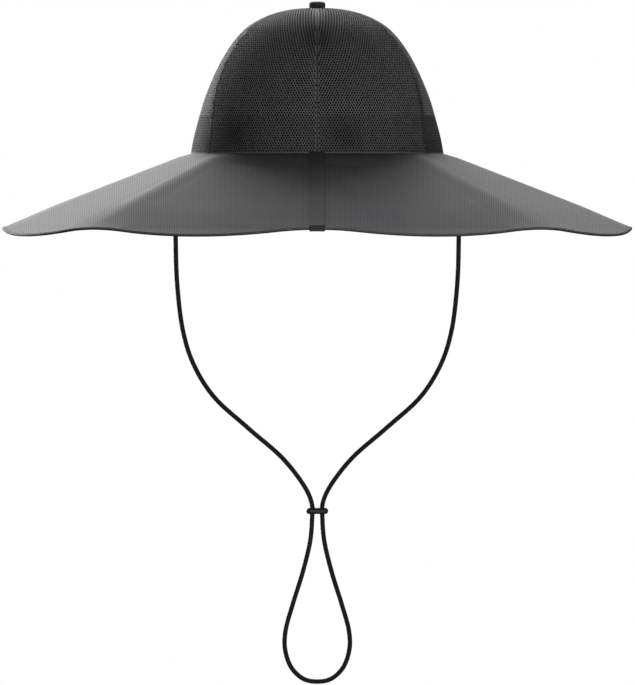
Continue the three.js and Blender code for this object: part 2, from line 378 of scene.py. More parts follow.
sliderSize = {
    "height": -254.5, "length": 15.6, "depth": 6.8, "thick": 4.4,
    "holeOffset": 3.6, "holeRadius": 2.15, "round": 1.6, "holeRound": 0.35,
    "segments": 48, "drillSides": 32,
}


def plasticFinish(name, level, roughness):
    finish = Finish(name, roughness=roughness)
    wear = finish.noise(160.0, 2.0)
    colour = finish.mix(wear, grey(level * 0.8), grey(level * 1.25, 0.03))
    finish.feed(finish.shader.inputs["Roughness"], finish.calc("MULTIPLY_ADD", wear, 0.12, roughness - 0.06))
    return finish.done(colour, finish.noise(2600.0, 4.0), 0.05, 0.6)


def stadium(length, depth, count):
    # outline of a bar with half-round ends, anticlockwise
    straight = (length - depth) / 2
    turn = circle(count) + math.pi / count
    reach = np.where(np.cos(turn) > 0, straight, -straight)
    return joined(reach + depth / 2 * np.cos(turn), depth / 2 * np.sin(turn))


def makeSlider(size):
    half = size["thick"] / 2
    count = size["segments"]
    rows = []
    for angle in np.linspace(-90, 90, 13) * math.pi / 180:  # the rim bulges between the flat faces
        inward = size["round"] * (1 - math.cos(angle))
        outline = stadium(size["length"] - 2 * inward, size["depth"] - 2 * inward, count)
        rows.append(joined(*outline.T, half * math.sin(angle)))
    piece = meshObject("slider_bar", np.concatenate(rows), tubeFaces(len(rows), count), 50)
    piece.location = (0, 0, size["height"] * mm)
    flare = [(-half - 0.1, size["holeRound"]), (-half + size["holeRound"], 0),
             (half - size["holeRound"], 0), (half + 0.1, size["holeRound"])]
    cutters = []
    for side in (-1, 1):
        drill = [ringAt(size["drillSides"], size["holeRadius"] + wide, level, side * size["holeOffset"])
                 for level, wide in flare]
        cutter = meshObject("slider_drill", np.concatenate(drill), tubeFaces(len(flare), size["drillSides"]))
        cutter.location = piece.location
        cutters.append(cutter)
        cut = piece.modifiers.new("hole", "BOOLEAN")
        cut.operation = "DIFFERENCE"
        cut.solver = "EXACT"
        cut.object = cutter
    applyModifiers(piece, 35)
    for cutter in cutters:
        bpy.data.objects.remove(cutter)
    return piece


sliderPiece = dress(makeSlider(sliderSize), ["cord_slider"],
                    plasticFinish("satin_black_plastic", 0.03, 0.42))
print("slider threaded")


# Crown: the shape that its panels, tapes and sweatband all follow

crownSize = {
    "depthRatio": 1.15,  # front to back over side to side
    "seamLow": 58.5, "seamHigh": 65.5,  # degrees from the front to the side panel's seam, low and high
    "flatLow": 0.02, "flatHigh": 0.06,  # how much flatter than the oval a panel is, low and high
    "shoulder": 68.0,  # height where the high values are reached
    "sidePull": 2.4, "middleFull": 2.0,  # how far a side seam stands out, and a middle seam lies in
}
crownProfile = [  # half width and height
    (90.0, 0.0), (88.3, 9.6), (86.1, 18.6), (83.5, 28.0), (80.5, 38.1), (76.3, 49.0), (71.6, 59.5),
    (66.0, 70.0), (58.7, 80.8), (50.5, 89.4), (41.7, 95.1), (31.5, 99.5), (20.6, 102.2), (12.8, 103.2),
    (2.3, 103.8),
]
sidePanels = (1, 4)  # they reach from side seam to side seam
leadPanels = (0, 3)  # they start at a middle seam, and the other two end at one
profileLine = evenLine(smoothLine(crownProfile, 16), 0.5)
profileAlong = lengthAlong(profileLine)
profileRun = np.gradient(profileLine, axis=0)
profileRun /= np.linalg.norm(profileRun, axis=1)[:, None]
profileRun[0] = (0, 1)  # the base is cut level
crownLength = profileAlong[-1]


def byHeight(height, low, high):
    return low + (high - low) * smoothStep(height, 0, crownSize["shoulder"])


def crownAngles(height):
    side = byHeight(height, crownSize["seamLow"], crownSize["seamHigh"])
    return [0 * side, side, 180 - side, 0 * side + 180, 180 + side, 360 - side, 0 * side + 360]


def panelDip(panel, across):
    # a panel lies flat between side seams, and comes out a little beside the middle seams
    if panel in sidePanels:
        return crownSize["sidePull"] * across * (1 - across)
    away = across if panel in leadPanels else 1 - across
    full = crownSize["middleFull"]
    return away * (1 - away) * ((crownSize["sidePull"] + full) * away - full)


def crownPoint(panel, across, along, inset):
    # panels 0 to 5 go round from the front seam to the right; across is 0 to 1 between a panel's seams,
    # along is the way up the profile, and inset goes inwards
    half, height, runSide, runUp = (np.interp(along, profileAlong, values)
                                    for values in np.hstack([profileLine, profileRun]).T)
    seams = crownAngles(height)
    degrees = seams[panel] + (seams[panel + 1] - seams[panel]) * across
    flat = byHeight(height, crownSize["flatLow"], crownSize["flatHigh"])
    dip = panelDip(panel, np.clip(across, 0, 1))
    radius = (half - inset * runUp) * (1 - flat * dip) / (1 - flat * crownSize["sidePull"] / 4)
    turn = np.radians(degrees)
    depth = -radius * crownSize["depthRatio"] * np.cos(turn)
    return joined(radius * np.sin(turn), depth, height + inset * runSide)


def panelWidth(panel, along, inset=0.0):
    across = np.linspace(0, 1, 25)
    line = crownPoint(panel, across[None], np.atleast_1d(along)[:, None], inset)
    return np.linalg.norm(np.diff(line, axis=1), axis=2).sum(1)


# Crown panels, perforated cloth over a dark net that shuts each hole; the net's colour is painted shade for
# the black, shaded inside of the crown seen through the hole

meshCloth = {
    "pitch": 2.1, "rowPitch": 1.85,  # staggered holes, across and up
    "holeWide": 1.45, "holeTall": 1.95,
    "wallShade": 0.9, "sideWallShade": 0.25,  # painted shade on a hole's wall, in front and at the sides
    "cloth": 1.2, "net": 0.95,  # thickness, and depth of the net in a hole
    "margin": 1.25,  # cloth without holes along an edge
    "seamGap": 0.3,
    "rib": 0.35, "loop": 0.46, "dark": 0.165, "light": 0.4,  # of the knit
    "crease": 0.5, "sideCrease": 4.0,  # width of the painted shade along a middle seam and along a side seam
    "panelCrease": 7.0, "creaseShade": 0.75,  # the same on a side panel, and its depth
    "bandTop": 27.5, "bandShade": 0.15, "sideBandShade": 0.62,  # painted shade where the sweatband lies behind the mesh
    "tapeHalf": 5.7,  # half width of the tape that lies behind a seam
    "highlightFrom": 52.0, "highlightTo": 26.0,  # below the top, where the painted highlight on the tape's strip starts and where it is full
    "shadeBand": 58.0, "shadeBandHalf": 15.0,  # below the top, where a band of painted shade lies
    "button": 18.0, "buttonShade": 0.75,  # reach and depth of the button's shade
    "shadows": [  # panel, distance from the front seam, height, half width, half height and depth
        (0, 22.0, 14.5, 14.0, 11.0, 0.4), (0, 14.0, 50.0, 28.0, 60.0, 0.15),
        (5, 66.0, 14.0, 15.0, 12.0, 0.5)],
}
panelNames = ["front_right", "right", "back_right", "back_left", "left", "front_left"]


def meshFinish(size):
    finish = Finish("black_perforated_knit", roughness=0.85, specularIorLevel=0.2, sheenWeight=0.08,
                    sheenRoughness=0.5)
    across, up = finish.uv()
    net, shade = finish.uv("net")
    tape, light = finish.uv("behind")
    knit = finish.times(finish.wave(across, size["rib"]), finish.wave(up, size["loop"]))
    tone = finish.weigh(finish.noise(60.0, 2.0), 0.35, knit, 0.5)
    cloth = finish.mix(tone, grey(size["dark"]), grey(size["light"], 0.02))
    # painted highlight along a tape's strip near the top, then the painted shade
    cloth = finish.mix(finish.times(light, 0.6), cloth, grey(0.45))
    cloth = finish.mix(shade, cloth, grey(0.008))
    # the lining side is marked by -1, and its holes are painted on the same grid
    pitch, rowPitch = size["pitch"], size["rowPitch"]
    nearX = finish.calc("PINGPONG", across, pitch / 2)
    nearY = finish.calc("PINGPONG", up, rowPitch)
    first = finish.length(nearX, nearY)
    second = finish.length(finish.minus(pitch / 2, nearX), finish.minus(rowPitch, nearY))
    hole = finish.below(finish.calc("MINIMUM", first, second), size["holeWide"] / 2)
    painted = finish.times(finish.times(finish.below(net, -0.5), hole), 0.85)
    # the net's colour: painted shade for the black, shaded inside seen through a hole, a little lighter
    # where a tape lies behind
    behind = finish.mix(tape, grey(0.002), grey(0.02))
    return finish.done(finish.mix(finish.calc("MAXIMUM", net, painted), cloth, behind), knit, 0.06, 0.35)


def panelPaint(panel, across, wide, up, size):
    # painted shade and highlight on the mesh, and where a tape lies behind it, from the place between the
    # seams and the height along the cloth
    side = panel in sidePanels
    away = wide / 2 - np.abs(across)
    atSideSeam = across > 0 if panel in leadPanels else across < 0
    # painted shade along the seams
    width = size["panelCrease"] if side else np.where(atSideSeam, size["sideCrease"], size["crease"])
    crease = size["creaseShade"] * (1 - smoothStep(away / width, 0.15, 1))
    # painted shade low on the panel, where the sweatband lies behind
    band = np.where(up < size["bandTop"], size["sideBandShade"] if side else size["bandShade"], 0)
    down = crownLength - up
    tape = (away < size["tapeHalf"]) * 1.0
    # painted highlight along the tape's strip near the top of a middle seam
    light = np.where(atSideSeam | side, 0, tape * smoothStep(-down, -size["highlightFrom"], -size["highlightTo"]))
    # a band of painted shade below the top, darkest over the tape
    shadeBand = np.exp(-((down - size["shadeBand"]) / size["shadeBandHalf"]) ** 2)
    shadeBand = 0 * away if side else shadeBand * (0.15 + 0.35 * (1 - smoothStep(away, 4, 14)))
    button = size["buttonShade"] * (1 - smoothStep(down, size["button"] / 2, size["button"]))
    shade = np.maximum.reduce([crease, band, shadeBand, button])
    fromFront = wide / 2 + across * (1 if panel in leadPanels else -1)
    for number, out, height, halfWide, halfTall, depth in size["shadows"]:
        if number == panel:
            soft = np.exp(-((fromFront - out) / halfWide) ** 2 - ((up - height) / halfTall) ** 2)
            shade = 1 - (1 - shade) * (1 - depth * soft)
    return shade, tape, light


def perforatedPanel(name, panel, size):
    # six-sided cells, each with a six-sided hole, cut off at the panel's edges
    step = (size["pitch"] / 2, size["rowPitch"] / 3)
    levels = np.linspace(0, crownLength, 80)
    widths = panelWidth(panel, levels)
    rowCount = int(crownLength / size["rowPitch"]) + 2
    reach = int(widths.max() / size["pitch"] / 2) + 3
    corner = np.array([(0, 2), (-1, 1), (-1, -1), (0, -2), (1, -1), (1, 1)])

    def place(points):
        # keeps a flat point inside the panel
        up = np.clip(points[..., 1], 0, crownLength)
        limit = np.interp(up, levels, widths) / 2 - size["seamGap"] / 2
        return joined(np.clip(points[..., 0], -limit, limit), up)

    row = np.arange(-1, rowCount)[:, None]
    cell = joined(2 * np.arange(-reach, reach + 1) + row % 2, 3 * row).reshape(-1, 2)
    keys = cell[:, None] + corner[None]
    flat = place(keys * step)
    after = np.roll(flat, -1, axis=1)
    area = 0.5 * (flat[..., 0] * after[..., 1] - flat[..., 1] * after[..., 0]).sum(1)
    kept = area > 0.02  # the rest lies outside
    keys = keys[kept]
    middle = cell[kept] * step
    side, up = middle.T
    margin = size["margin"]
    limit = np.interp(up, levels, widths) / 2 - margin
    holed = (np.abs(side) < limit) & (up > margin) & (up < crownLength - margin)
    unique, index = np.unique(keys.reshape(-1, 2), axis=0, return_inverse=True)
    index = index.reshape(-1, 6)
    rimPoints = place(unique * step)
    around = np.radians(90 + 60 * np.arange(6))
    hole = joined(size["holeWide"] / 2 * np.cos(around), size["holeTall"] / 2 * np.sin(around))
    holePoints = (middle[holed][:, None] + hole[None]).reshape(-1, 2)
    flatPoints = np.concatenate([rimPoints, holePoints])
    holes = slice(len(rimPoints), None)
    count = len(flatPoints)

    side, up = flatPoints.T
    wide = np.interp(up, levels, widths)
    across = 0.5 + side / wide
    outer = crownPoint(panel, across, up, 0.0)
    inner = crownPoint(panel, across, up, size["cloth"])
    netPoints = crownPoint(panel, across[holes], up[holes], size["net"])
    points = np.concatenate([outer, inner, netPoints])

    number = np.arange(holed.sum() * 6).reshape(-1, 6)
    holeIndex = len(rimPoints) + number
    netIndex = 2 * count + number
    rim = index[holed]
    after = np.roll(np.arange(6), -1)
    ringFaces = joined(rim, rim[:, after], holeIndex[:, after], holeIndex).reshape(-1, 4)
    wallFaces = joined(holeIndex, holeIndex[:, after], netIndex[:, after], netIndex).reshape(-1, 4)
    edges = joined(index, np.roll(index, -1, axis=1)).reshape(-1, 2)
    edgeSet = set(map(tuple, edges.tolist()))
    border = [[b, a, a + count, b + count] for a, b in edgeSet if (b, a) not in edgeSet]
    faces = (netIndex.tolist() + ringFaces.tolist() + wallFaces.tolist() + index[~holed].tolist()
             + (index[:, ::-1] + count).tolist() + border)

    corners = np.concatenate(faces)
    number = np.arange(count)
    flatIndex = np.concatenate([number, number, number[holes]])[corners]
    paint = panelPaint(panel, side, wide, up, size)
    isNet = np.zeros(len(corners))
    # the net takes its dark colour in full, and a wall a share of it as painted shade
    isNet[:netIndex.size] = 1
    firstWall = netIndex.size + ringFaces.size
    wallShade = size["sideWallShade" if panel in sidePanels else "wallShade"]
    isNet[firstWall:firstWall + wallFaces.size] = wallShade
    lining = (corners >= count) & (corners < 2 * count)
    isNet[lining] = -1
    shade, tape, light = (np.where(lining, 0, values[flatIndex]) for values in paint)
    piece = meshObject(name, points, faces, 45, flatPoints[flatIndex])
    # the second layer holds the net and the painted shade, the third the tape behind and the painted
    # highlight
    addUvs(piece.data, "net", joined(isNet, shade))
    addUvs(piece.data, "behind", joined(tape, light))
    return joinPoints(piece)


def joinPoints(piece, distance=0.004):
    # joins points that an edge has pushed together
    work = bmesh.new()
    work.from_mesh(piece.data)
    bmesh.ops.remove_doubles(work, verts=work.verts, dist=distance * mm)
    bmesh.ops.dissolve_degenerate(work, dist=distance * mm, edges=work.edges)
    work.to_mesh(piece.data)
    work.free()
    return piece


knitCloth = meshFinish(meshCloth)
for number, name in enumerate(panelNames):
    piece = perforatedPanel(f"mesh_panel_{name}", number, meshCloth)
    dress(piece, [f"crown_panel_{name}"], knitCloth)
    print("crown panel perforated:", name, len(piece.data.polygons), "faces")


# Seam tapes, behind each seam and down to the base

tapeSize = {
    "width": 11.4, "thick": 0.8, "edge": 0.25,
    "outside": 1.4 + gap,  # how far inside the crown's surface it starts
    "top": 10.7,  # half width of the crown where it ends
}
seamNames = ["front", "front_right", "back_right", "back", "back_left", "front_left"]


def tapeFinish(name, dark, light, ribPitch, foldedShadedEnd=None, hook=None, selvedge=None):
    finish = Finish(name, roughness=0.8, sheenWeight=0.2, sheenRoughness=0.5)
    across, along = finish.uv()
    thread = finish.calc("MULTIPLY_ADD", finish.wave(across, 0.55), 0.5, 0.5)
    weave = finish.times(finish.wave(along, ribPitch), thread)
    tone = finish.weigh(finish.noise(220.0), 0.4, weave, 0.6)
    colour = finish.mix(tone, grey(dark), grey(light, 0.02))
    if foldedShadedEnd:  # the doubled end at the crown is darker, and painted shade from the crown lies over it
        colour = finish.mix(finish.fade(along, foldedShadedEnd - 8, foldedShadedEnd, 0.5), colour, grey(0.01))
    if hook:  # painted shade on the end that goes round and under the rim
        colour = finish.mix(finish.times(finish.below(hook, along), 0.75), colour, grey(0.008))
    if selvedge:
        edge = finish.below(selvedge, finish.calc("ABSOLUTE", across))
        colour = finish.mix(finish.times(edge, 0.4), colour, grey(0.012))
    return finish.done(colour, weave, 0.14)


def seamPoint(seam, sideways, along, inset):
    # a point beside a seam, measured along the cloth
    before = (seam + 5) % 6
    along = along[:, None]
    right = sideways / panelWidth(seam, along[:, 0], inset)[:, None]
    left = sideways / panelWidth(before, along[:, 0], inset)[:, None]
    return np.where((sideways > 0)[..., None], crownPoint(seam, np.maximum(right, 0), along, inset),
                    crownPoint(before, 1 + np.minimum(left, 0), along, inset))


def makeTape(name, seam, size):
    stop = np.interp(-size["top"], -profileLine[:, 0], profileAlong)
    along = np.linspace(0.2, stop, 120)
    half = size["width"] / 2
    sideways = np.array([-half, -half + size["edge"], -half * 0.5, 0, half * 0.5, half - size["edge"], half])
    outer = seamPoint(seam, sideways, along, size["outside"])
    inner = seamPoint(seam, sideways, along, size["outside"] + size["thick"])
    rounding = size["edge"] * np.array([1.0, 0.15, 0, 0, 0, 0.15, 1.0])  # of the long edges
    outer, inner = thinned(outer, inner, rounding / size["thick"])
    return shell(name, outer, inner, {"weave": joined(sideways, along[:, None])})


tapeCloth = tapeFinish("dark_grey_tape", 0.03, 0.1, 0.8)
for number, name in enumerate(seamNames):
    dress(makeTape(f"tape_{name}", number, tapeSize), [f"seam_tape_{name}"], tapeCloth)
print("seam tapes laid")


# Sweatband, a soft band inside the base with a rounded top edge

sweatSize = {
    "height": 28.0, "thick": 2.0, "round": 0.8,
    "outside": 2.8,  # how far inside the crown's surface it starts
    "stitchLine": 25.0, "stitch": 2.6,  # height of the stitched groove, and length of a stitch
    "dark": 0.008, "light": 0.03, "thread": 0.05,
    "perPanel": 30, "rows": 26,
}


def sweatFinish(size):
    finish = Finish("black_brushed_knit", roughness=0.88, sheenWeight=0.35, sheenRoughness=0.5)
    across, up = finish.uv()
    knit = finish.times(finish.wave(across, 0.9), finish.wave(up, 0.7))
    line = finish.below(finish.calc("ABSOLUTE", finish.minus(up, size["stitchLine"])), 0.45)
    stitch = finish.times(line, finish.below(0.45, finish.wave(across, size["stitch"])))
    tone = finish.weigh(finish.noise(150.0), 0.5, knit, 0.4)
    cloth = finish.mix(tone, grey(size["dark"]), grey(size["light"]))
    height = finish.minus(finish.calc("ADD", knit, stitch), line)
    return finish.done(finish.mix(stitch, cloth, grey(size["thread"])), height, 0.2)


def makeSweatband(size):
    stop = np.interp(size["height"], profileLine[:, 1], profileAlong)
    up = np.linspace(0.2, stop, size["rows"])
    across = np.arange(size["perPanel"]) / size["perPanel"]
    nearTop = np.clip((up - (stop - size["round"])) / size["round"], 0, 1)
    pinch = size["thick"] / 2 * (1 - np.sqrt(1 - nearTop ** 2)) * 0.9

    def face(insets):
        panels = [crownPoint(panel, across[None], up[:, None], insets[:, None]) for panel in range(6)]
        return np.concatenate(panels, axis=1)

    outer = face(size["outside"] + pinch)
    inner = face(size["outside"] + size["thick"] - pinch)
    around = lengthAlong(outer[0])
    onceRound = around[-1] * len(around) / (len(around) - 1)
    layers = {"weave": joined(around, up[:, None])}
    return shell("sweatband_knit", outer, inner, layers, ring=True, onceRound=onceRound)


dress(makeSweatband(sweatSize), ["sweatband"], sweatFinish(sweatSize))
print("sweatband fitted")


# Button at the top

buttonSize = {
    "radius": 5.85, "base": 103.8, "height": 4.45,
    "edge": 1.9, "dome": 0.25, "small": 0.5,  # top edge's rounding, rise of the top, lower edge's rounding
    "shankRadius": 1.5, "shank": 3.25,
    "segments": 56,
}


def turned(name, outline, segments, sharpAngle=50.0):
    # a body turned round the hat's own axis; the outline runs from axis to axis
    rings = [ringAt(segments, r, z) for r, z in outline[1:-1]]
    points = np.concatenate(rings + [[(0, 0, outline[0][1])], [(0, 0, outline[-1][1])]])
    faces = gridFaces(len(rings), segments, ring=True).tolist()
    bottom, top = len(points) - 2, len(points) - 1
    last = (len(rings) - 1) * segments
    for here in range(segments):
        after = (here + 1) % segments
        faces.append([after, here, bottom])
        faces.append([last + here, last + after, top])
    corners = np.concatenate(faces)
    return meshObject(name, points, faces, sharpAngle, points[corners, :2])


def makeButton(size):
    base, radius, edge, small, dome = (size[key] for key in ("base", "radius", "edge", "small", "dome"))
    top = base + size["height"]
    shank, foot = size["shankRadius"], base - size["shank"]
    outline = [(0, foot), (shank, foot), (shank, base), (radius - 0.6, base - 0.1)]
    outline += [(radius - small + small * math.sin(a), base + small - small * math.cos(a))
                for a in np.linspace(0, math.pi / 2, 6)]
    outline += [(radius - edge + edge * math.cos(a), top - edge - dome + edge * math.sin(a))
                for a in np.linspace(0, math.pi / 2, 9)]
    outline += [(r, top - dome * (r / (radius - edge)) ** 2) for r in (2.8, 1.6, 0.6, 0)]
    return turned("button_dome", outline, size["segments"])


buttonCloth = tapeFinish("black_button_cloth", 0.09, 0.22, 0.6)
dress(makeButton(buttonSize), ["crown_button"], buttonCloth)
print("button set")


# Brim: eight facets that fall away from the crown, with rounded ridges between them

rimRadius = 224.3  # outside of the binding
bindingWidth = 1.7
brimSize = {
    "rim": rimRadius - bindingWidth - gap,  # where its cloth ends, inside the binding
    "inside": 4.8,  # how far it reaches in under the sweatband
    "slope": 0.4216,  # fall of a facet along its middle line
    "zeroRadius": 90.6,  # where the flat of a facet would meet the base plane
    "ridgeBlend": 22.0,  # width of the rounding on a ridge
    "crispBlend": 7.0, "crispTo": 160.0,  # the same on a diagonal ridge, and the radius where it widens
    "welt": 0.45, "weltHalf": 6.1, "weltTo": 203.0,  # raised line on a diagonal ridge, and where it fades
    "collar": 11.0,  # steeper strip that joins the oval crown to the facets
    "cloth": 1.6,
    "droop": 1.2, "droopWidth": 40.0,  # how far the rim sinks, and over what width
    "seam": 8.0,  # darker strip where the brim is sewn to the crown, with painted shade from the crown over it
    "slit": 0.05,  # between the crown's base and the brim
    "facets": 8, "perFacet": 44,
}
fall = math.hypot(1, brimSize["slope"])  # length along the slope for one unit outwards
facetTurn = 2 * math.pi / brimSize["facets"]


def facetHeight(x, y):
    size = brimSize
    angles = (np.arange(size["facets"]) + 0.5) * facetTurn
    reach = np.sort(x[..., None] * np.sin(angles) - y[..., None] * np.cos(angles), axis=-1)
    between = reach[..., -1] - reach[..., -2]
    radius = np.hypot(x, y)
    diagonal = (2 * x * y / radius ** 2) ** 2  # 1 on the four diagonal ridges, 0 on the others
    crisp = diagonal * (1 - smoothStep(radius, size["crispTo"], size["rim"]))
    blend = size["ridgeBlend"] + (size["crispBlend"] - size["ridgeBlend"]) * crisp
    rounding = np.maximum(blend - between, 0) ** 2 / (4 * blend)
    faded = diagonal * (1 - smoothStep(radius, size["weltTo"], size["rim"]))
    welt = size["welt"] * faded * np.exp(-(between / size["weltHalf"]) ** 2)
    return welt - size["slope"] * (reach[..., -1] + rounding - size["zeroRadius"])


def brimSurface(x, y):
    # height of the cloth's top outside the collar
    rim = brimSize["rim"]
    sunk = smoothStep(np.hypot(x, y), rim - brimSize["droopWidth"], rim)
    return facetHeight(x, y) - brimSize["droop"] * sunk


def baseOval(turn, inset):
    # the crown's outline at its base for an angle from the front
    degrees = np.degrees(turn) % 360
    seams = np.array(crownAngles(np.float64(0.0)))
    panel = np.clip(np.searchsorted(seams, degrees, side="right") - 1, 0, 5)
    points = np.zeros((len(degrees), 3))
    for number in range(6):
        chosen = panel == number
        across = (degrees[chosen] - seams[number]) / (seams[number + 1] - seams[number])
        points[chosen] = crownPoint(number, across, np.zeros(chosen.sum()), inset)
    return points


def brimWay(turn):
    # from the crown's base to the rim, seen from above
    start = baseOval(turn.ravel(), 0.0).reshape(turn.shape + (3,))
    way = brimSize["rim"] * outward(turn) - start
    return start, way, np.linalg.norm(way[..., :2], axis=-1)


def brimWidth(turn):
    return brimWay(turn)[2]


def brimTop(turn, distance, lowered=0.0):
    # top of the cloth, a distance out from the crown
    start, way, width = brimWay(turn)
    place = start + way * (distance / width)[..., None]
    lift = -brimSize["slit"] - facetHeight(start[..., 0], start[..., 1])
    kept = 1 - smoothStep(distance, 0, brimSize["collar"])
    place[..., 2] = brimSurface(place[..., 0], place[..., 1]) + lift * kept - lowered
    return place


def weaveFinish(name, dark, light, tint, cells=False):
    # plain square weave of thick threads, a little blue over the solar cells
    finish = Finish(name, roughness=0.75, specularIorLevel=0.3, sheenWeight=0.12, sheenRoughness=0.4)
    across, down = finish.uv()
    weft, warp = (finish.wave(run, weaveSize["pitch"]) for run in (down, across))
    threads = finish.weigh(weft, 0.4, warp, 0.6)
    tone = finish.weigh(finish.noise(420.0, 2.0), 0.12, threads, 0.7)
    tone = finish.calc("MULTIPLY_ADD", finish.noise(26.0, 2.0), 0.12, tone)
    colour = finish.mix(tone, grey(dark, tint), grey(light, tint))
    if cells:
        colour, threads = addCells(finish, colour, threads)
    else:  # the strip along the crown lies doubled and darker, with painted shade from the crown over it
        away = finish.uv("collar")[0]
        colour = finish.mix(finish.fade(away, 0.0, brimSize["seam"], 0.62), colour, grey(0.012))
    return finish.done(colour, threads, 0.1, 0.5)


def makeBrim(size):
    columns = size["facets"] * size["perFacet"]
    turn = circle(columns)
    width = brimWidth(turn)
    seat = np.linspace(0, 1, 4)[:3]
    collar = np.linspace(0, 1, 12) * size["collar"]
    flat = np.linspace(0, 1, 44)[1:]
    start = baseOval(turn, size["inside"])
    edge = baseOval(turn, 0.0)

    def face(lowered):
        rows = [start + (edge - start) * share for share in seat]
        for row in rows:
            row[:, 2] = -size["slit"] - lowered
        rows += [brimTop(turn, distance, lowered) for distance in collar]
        rows += [brimTop(turn, size["collar"] + (width - size["collar"]) * share, lowered) for share in flat]
        return np.stack(rows[::-1])

    outer, inner = face(0.0), face(size["cloth"] * fall)
    far = np.full(len(flat), 99.0)  # well clear of the seam
    away = np.concatenate([np.zeros(len(seat)), collar, far])[::-1]
    layers = {"weave": outer[..., :2],  # one cloth covers the whole brim, so its threads run straight across
              "collar": np.broadcast_to(away[:, None, None], outer.shape[:2] + (2,))}
    return shell("brim_cloth", outer, inner, layers, ring=True)


# Solar panels under the same weave, each with its cells showing faintly

weaveSize = {"pitch": 1.6}
solarSize = {
    "inner": 114.0, "outer": 213.0,  # measured out along the facet's middle line
    "sideAngle": 16.4, "corner": 3.0,
    "seat": 0.012, "rise": 0.02, "crown": 0.16,  # height over the cloth: underside, welded edge and middle
    "edge": 5.0,  # width in which it thins out to its edge
    "cellWide": 20.6, "lineWide": 0.8,
    "rowLine": 163.5,  # the line between the two rows of cells
}


def addCells(finish, colour, height):
    # cell borders as faint dark grooves
    size = solarSize
    across, down = finish.uv("cells")
    shifted = finish.calc("ADD", across, 20 * size["cellWide"])
    toColumn = finish.calc("PINGPONG", shifted, size["cellWide"] / 2)
    toRow = finish.calc("ABSOLUTE", finish.minus(down, size["rowLine"] * fall))
    line = finish.below(finish.calc("MINIMUM", toColumn, toRow), size["lineWide"] / 2)
    colour = finish.mix(finish.times(line, 0.22), colour, grey(0.03, 0.2))
    return colour, finish.minus(height, finish.times(line, 0.3))


def makeSolarPanel(name, number, size):
    # a thin sheet that follows the cloth, with rounded corners
    spread = math.tan(math.radians(size["sideAngle"]))
    edge, corner = size["edge"], size["corner"]
    near = edge * np.array([0, 0.06, 0.15, 0.3, 0.45, 0.6, 0.8])
    inner, outer = size["inner"], size["outer"]
    between = np.linspace(inner + edge, outer - edge, 34)
    down = np.concatenate([inner + near, between, (outer - near)[::-1]])[::-1, None]
    toEnd = np.minimum(down - inner, outer - down)
    inCorner = np.clip(corner - toEnd, 0, corner)
    half = down * spread - (corner - np.sqrt(corner ** 2 - inCorner ** 2))
    x = np.concatenate([near - half, np.linspace(-1, 1, 34) * (half - edge), half - near[::-1]], 1)
    toEdge = np.minimum(toEnd, half - np.abs(x))
    low = size["seat"] + size["rise"]
    level = low + (size["crown"] - low) * smoothStep(toEdge, 0, edge)
    turn = (number + 0.5) * facetTurn
    placedX = x * math.cos(turn) + down * math.sin(turn)
    placedY = x * math.sin(turn) - down * math.cos(turn)
    height = brimSurface(placedX, placedY)
    top = joined(placedX, placedY, height + level)
    under = joined(placedX, placedY, height + size["seat"])
    return shell(name, top, under, {"weave": top[..., :2], "cells": joined(x, down * fall)}, sharpAngle=60)


dress(makeBrim(brimSize), ["brim"], weaveFinish("grey_square_weave", 0.015, 0.21, 0.02))
print("brim folded")
panelWeave = weaveFinish("grey_weave_over_cells", 0.015, 0.205, 0.1, cells=True)
for number in range(brimSize["facets"]):
    piece = makeSolarPanel(f"solar_laminate_{number + 1}", number, solarSize)
    dress(piece, [f"solar_panel_{number + 1}"], panelWeave)
print("solar panels laid on the facets")


# Binding round the rim

bindingSize = {
    "height": 2.3, "rise": 0.05, "columns": 480,
    "roll": 1.4,  # height in which its top rolls over to the outer face
    "small": 0.35,  # rounding of its lower edge
    "lap": 0.12,  # how far its top reaches in over the cloth
    "darkEdge": 0.75,  # height of the dark piping along its lower edge
    "ribRadius": 223.4,  # where its ribs are measured
    "dark": 0.085, "light": 0.26,
    "pipingDark": 0.006, "pipingLight": 0.02,
}


def bindingFinish(size):
    finish = Finish("grey_binding_dark_edge", roughness=0.8)
    level, along = finish.uv()
    rib = finish.wave(along, 0.9)
    tone = finish.weigh(finish.noise(220.0), 0.4, rib, 0.5)
    upper = finish.mix(tone, grey(size["dark"]), grey(size["light"], 0.02))
    lower = finish.mix(tone, grey(size["pipingDark"]), grey(size["pipingLight"]))
    piping = finish.below(level, size["darkEdge"] - size["height"])
    return finish.done(finish.mix(piping, upper, lower), rib, 0.12)


def makeBinding(size):
    turn = circle(size["columns"])
    quarter = np.linspace(0, math.pi / 2, 8)
    low, small = -size["height"], size["small"]
    section = [(-size["lap"], 0.0)]
    section += [(bindingWidth * math.sin(a), size["roll"] * (math.cos(a) - 1)) for a in quarter[1:]]
    section += [(bindingWidth - small + small * math.cos(a), low + small - small * math.sin(a))
                for a in quarter[::2]]
    section += [(bindingWidth / 2, low), (small, low), (0, low + small)]
    across, level = np.array(section).T
    middle = brimTop(turn, brimWidth(turn)) + outward(turn) * gap
    middle[:, 2] += size["rise"]
    points = middle + across[:, None, None] * outward(turn) + level[:, None, None] * np.array([0, 0, 1.0])
    rows, columns = points.shape[:2]
    here = np.arange(columns)
    after = (here + 1) % columns
    last = (rows - 1) * columns
    closing = joined(last + here, last + after, after, here)
    faces = np.concatenate([gridFaces(rows, columns, ring=True), closing])[:, ::-1]
    run = here * 2 * math.pi * size["ribRadius"] / columns
    uvs = joined(level[:, None], run).reshape(-1, 2)[faces]
    return meshObject("rim_binding_tape", points.reshape(-1, 3), faces.tolist(), 60, uvs)


dress(makeBinding(bindingSize), ["rim_binding"], bindingFinish(bindingSize))
print("rim bound")


# Front band, webbing along the front ridge that goes round the rim and back under it

